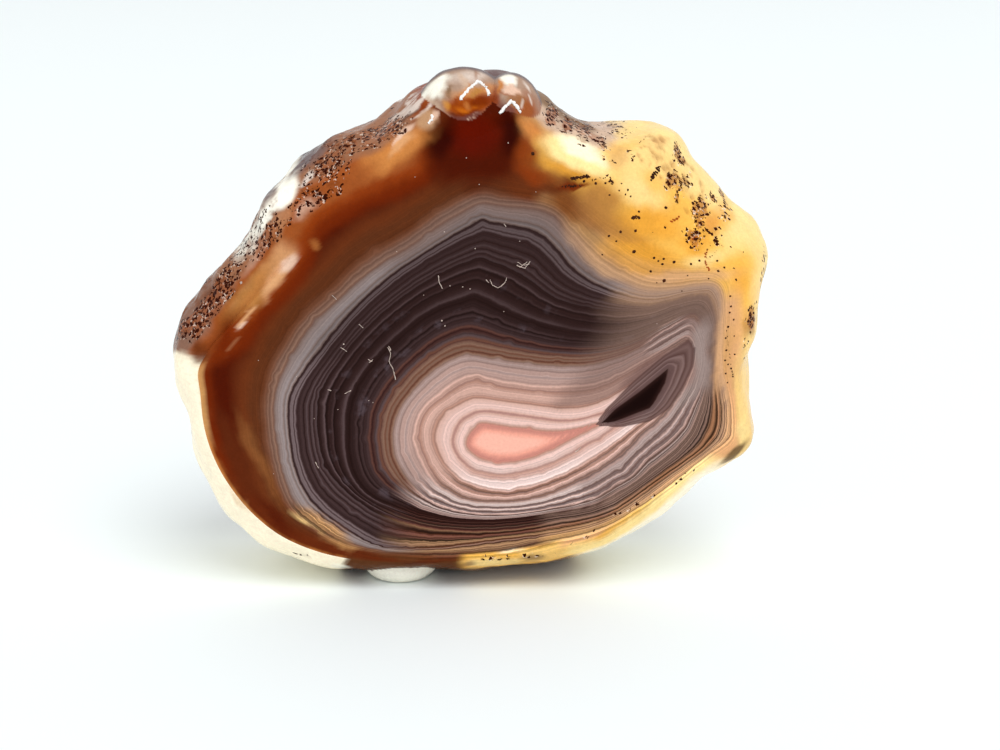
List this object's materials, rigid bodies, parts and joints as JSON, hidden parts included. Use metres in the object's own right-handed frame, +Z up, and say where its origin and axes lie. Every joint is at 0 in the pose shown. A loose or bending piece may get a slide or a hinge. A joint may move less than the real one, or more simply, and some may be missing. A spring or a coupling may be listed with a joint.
{
  "type": "agate slice",
  "caption": "Thick tumbled slab of banded agate with two flat polished faces, a rounded pitted skin and a glassy knob on top, that stands on its rim as a display piece.",
  "frame": {"origin": "on the surface that the slab stands on, in the middle of its bounding box", "axes": "+X along the slab's width, +Y through its thickness from the main polished face to the back face, +Z up"},
  "size_m": [0.0587, 0.015, 0.051],
  "materials": {
    "agate": "polished banded chalcedony, part clear and part milky, with a waxy pitted skin"
  },
  "bodies": {
    "root": {"agate_slice": "agate"}
  },
  "joints": []
}
